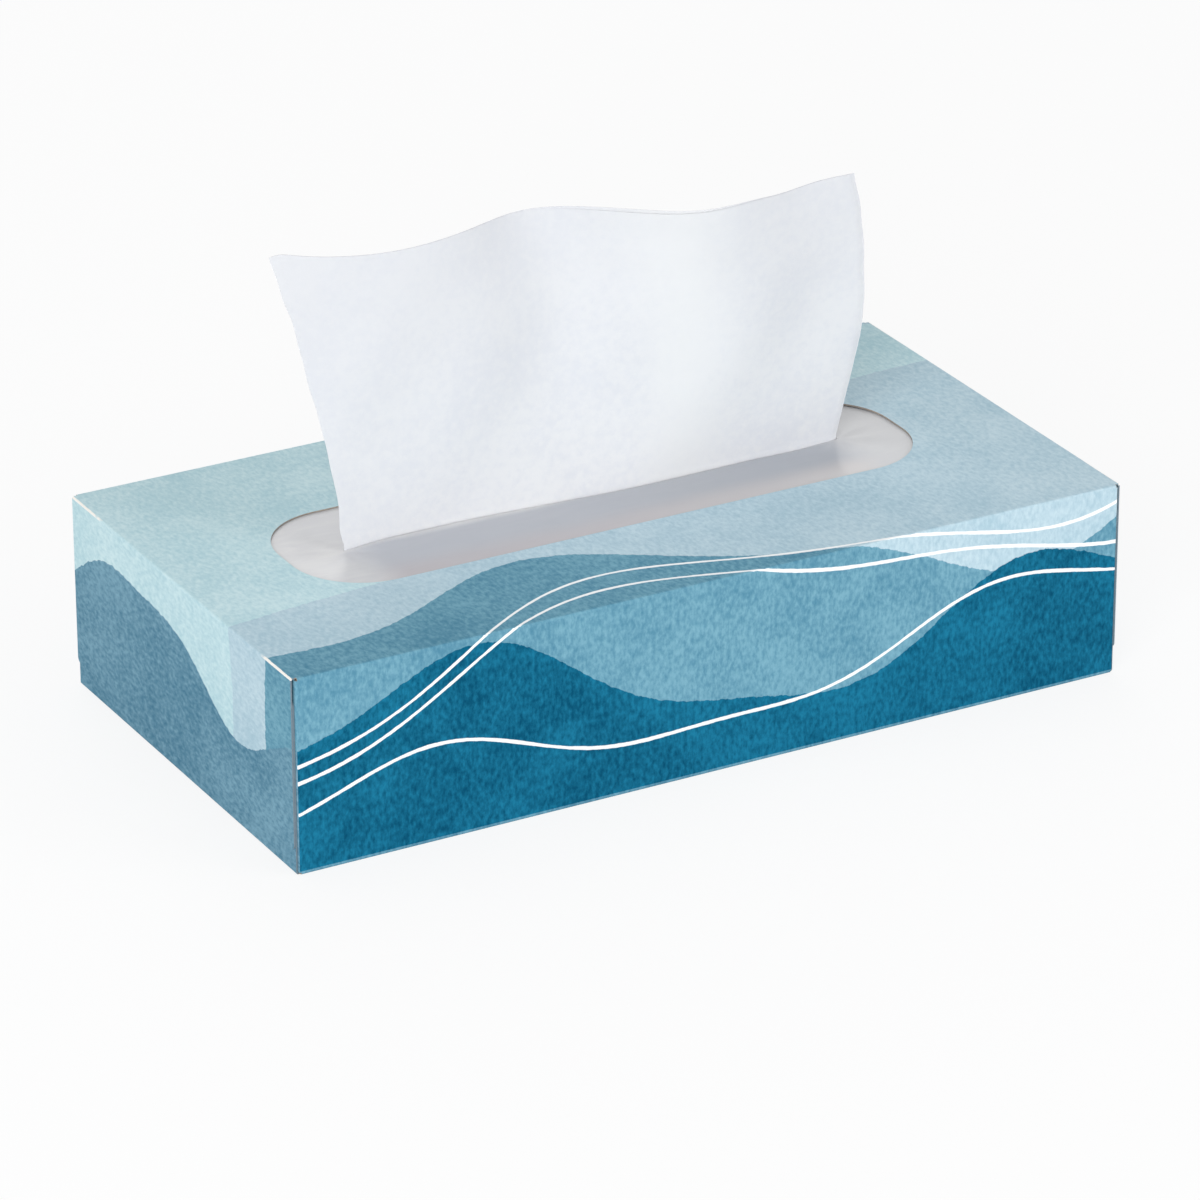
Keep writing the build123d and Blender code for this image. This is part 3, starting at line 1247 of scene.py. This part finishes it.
@dataclass
class Studio:
    """The camera, the pale floor and the soft light."""

    azimuth: float = -29.02
    elevation: float = 24.87
    roll: float = -0.107
    camera_place: tuple[float, float, float] = (-747.1 * MM, -1348.2 * MM, 736.0 * MM)
    lens: float = 202.67
    sensor_width: float = 36.0
    far: float = 50.0
    floor_size: float = 12.0
    floor_level: float = -0.02 * MM
    floor_grey: float = 0.86
    floor_roughness: float = 0.9
    floor_gloss: float = 0.1
    floor_glow: float = 1.03
    floor_glow_share: float = 0.8
    sky: Colour = (0.985, 0.99, 1.0)
    sky_lighting: float = 0.5
    sky_seen: float = 1.0
    target: tuple[float, float, float] = (0.0, 0.0, 40.0 * MM)
    lamps: tuple[Lamp, ...] = (
        Lamp("key_light", (-1.5, -1.6, 0.85), 1.6, 36.0),
        Lamp("fill_light", (1.3, -1.4, 0.8), 1.4, 10.0),
        Lamp("top_light", (0.2, 0.8, 1.9), 1.8, 2.5),
        Lamp("back_light", (0.6, 1.9, 0.7), 1.6, 8.0),
    )

    def build(self) -> None:
        """Makes the camera, the floor, the lamps and the world."""
        self.camera()
        self.floor()
        for lamp in self.lamps:
            lamp.light(self.target)
        self.world()

    def camera(self) -> None:
        """Adds the camera at the view's angle, for a square picture."""
        turn = math.radians(self.azimuth)
        rise = math.radians(self.elevation)
        level = math.cos(rise)
        forward = Vector((-math.sin(turn) * level, math.cos(turn) * level, -math.sin(rise)))
        right = forward.cross(Vector((0, 0, 1))).normalized()
        up = right.cross(forward)
        lean = math.radians(self.roll)
        leaned = right * math.cos(lean) + up * math.sin(lean)
        up = up * math.cos(lean) - right * math.sin(lean)
        data = bpy.data.cameras.new("camera")
        data.lens = self.lens
        data.sensor_width = self.sensor_width
        data.sensor_fit = "HORIZONTAL"
        data.clip_end = self.far
        camera = bpy.data.objects.new("camera", data)
        bpy.context.scene.collection.objects.link(camera)
        turned = Matrix((leaned, up, -forward)).transposed().to_4x4()
        camera.matrix_world = Matrix.Translation(self.camera_place) @ turned
        bpy.context.scene.camera = camera

    def floor(self) -> None:
        """Adds the pale floor, which the camera sees as nearly white with a soft shadow."""
        bpy.ops.object.select_all(action="DESELECT")
        bpy.ops.mesh.primitive_plane_add(size=self.floor_size, location=(0, 0, self.floor_level))
        floor = bpy.context.object
        floor.name = "floor"
        material = bpy.data.materials.new("pale_floor")
        material.use_nodes = True
        tree = material.node_tree
        shader = tree.nodes["Principled BSDF"]
        shader.inputs["Base Color"].default_value = (self.floor_grey,) * 3 + (1,)
        shader.inputs["Roughness"].default_value = self.floor_roughness
        shader.inputs["Specular IOR Level"].default_value = self.floor_gloss
        glow = tree.nodes.new("ShaderNodeEmission")
        glow.inputs["Color"].default_value = (1, 1, 1, 1)
        glow.inputs["Strength"].default_value = self.floor_glow
        path = tree.nodes.new("ShaderNodeLightPath")
        share = Value(tree, path.outputs["Is Camera Ray"]) * self.floor_glow_share
        blend = tree.nodes.new("ShaderNodeMixShader")
        tree.links.new(share.socket, blend.inputs["Fac"])
        tree.links.new(shader.outputs[0], blend.inputs[1])
        tree.links.new(glow.outputs[0], blend.inputs[2])
        tree.links.new(blend.outputs[0], tree.nodes["Material Output"].inputs["Surface"])
        floor.data.materials.append(material)

    def world(self) -> None:
        """Sets a plain world that the camera sees as white and that lights less than it shows."""
        world = bpy.data.worlds.new("studio")
        world.use_nodes = True
        tree = world.node_tree
        back = tree.nodes["Background"]
        back.inputs["Color"].default_value = (*self.sky, 1)
        path = tree.nodes.new("ShaderNodeLightPath")
        seen = Value(tree, path.outputs["Is Camera Ray"])
        strength = seen * (self.sky_seen - self.sky_lighting) + self.sky_lighting
        tree.links.new(strength.socket, back.inputs["Strength"])
        bpy.context.scene.world = world


def main() -> None:
    """Builds the dressed carton and the studio."""
    logging.basicConfig(level=logging.INFO, format="%(message)s")
    bpy.context.scene.view_settings.view_transform = "Standard"
    Studio().build()
    finishes = CartonFinish()
    finishes.dress()
    tissue = DrawnTissue()
    tissue.build(finishes.paper.material("tissue_paper"))
    FilmWindow().build(tissue, PaleFilm().material())
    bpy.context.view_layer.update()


if __name__ == "__main__":
    main()
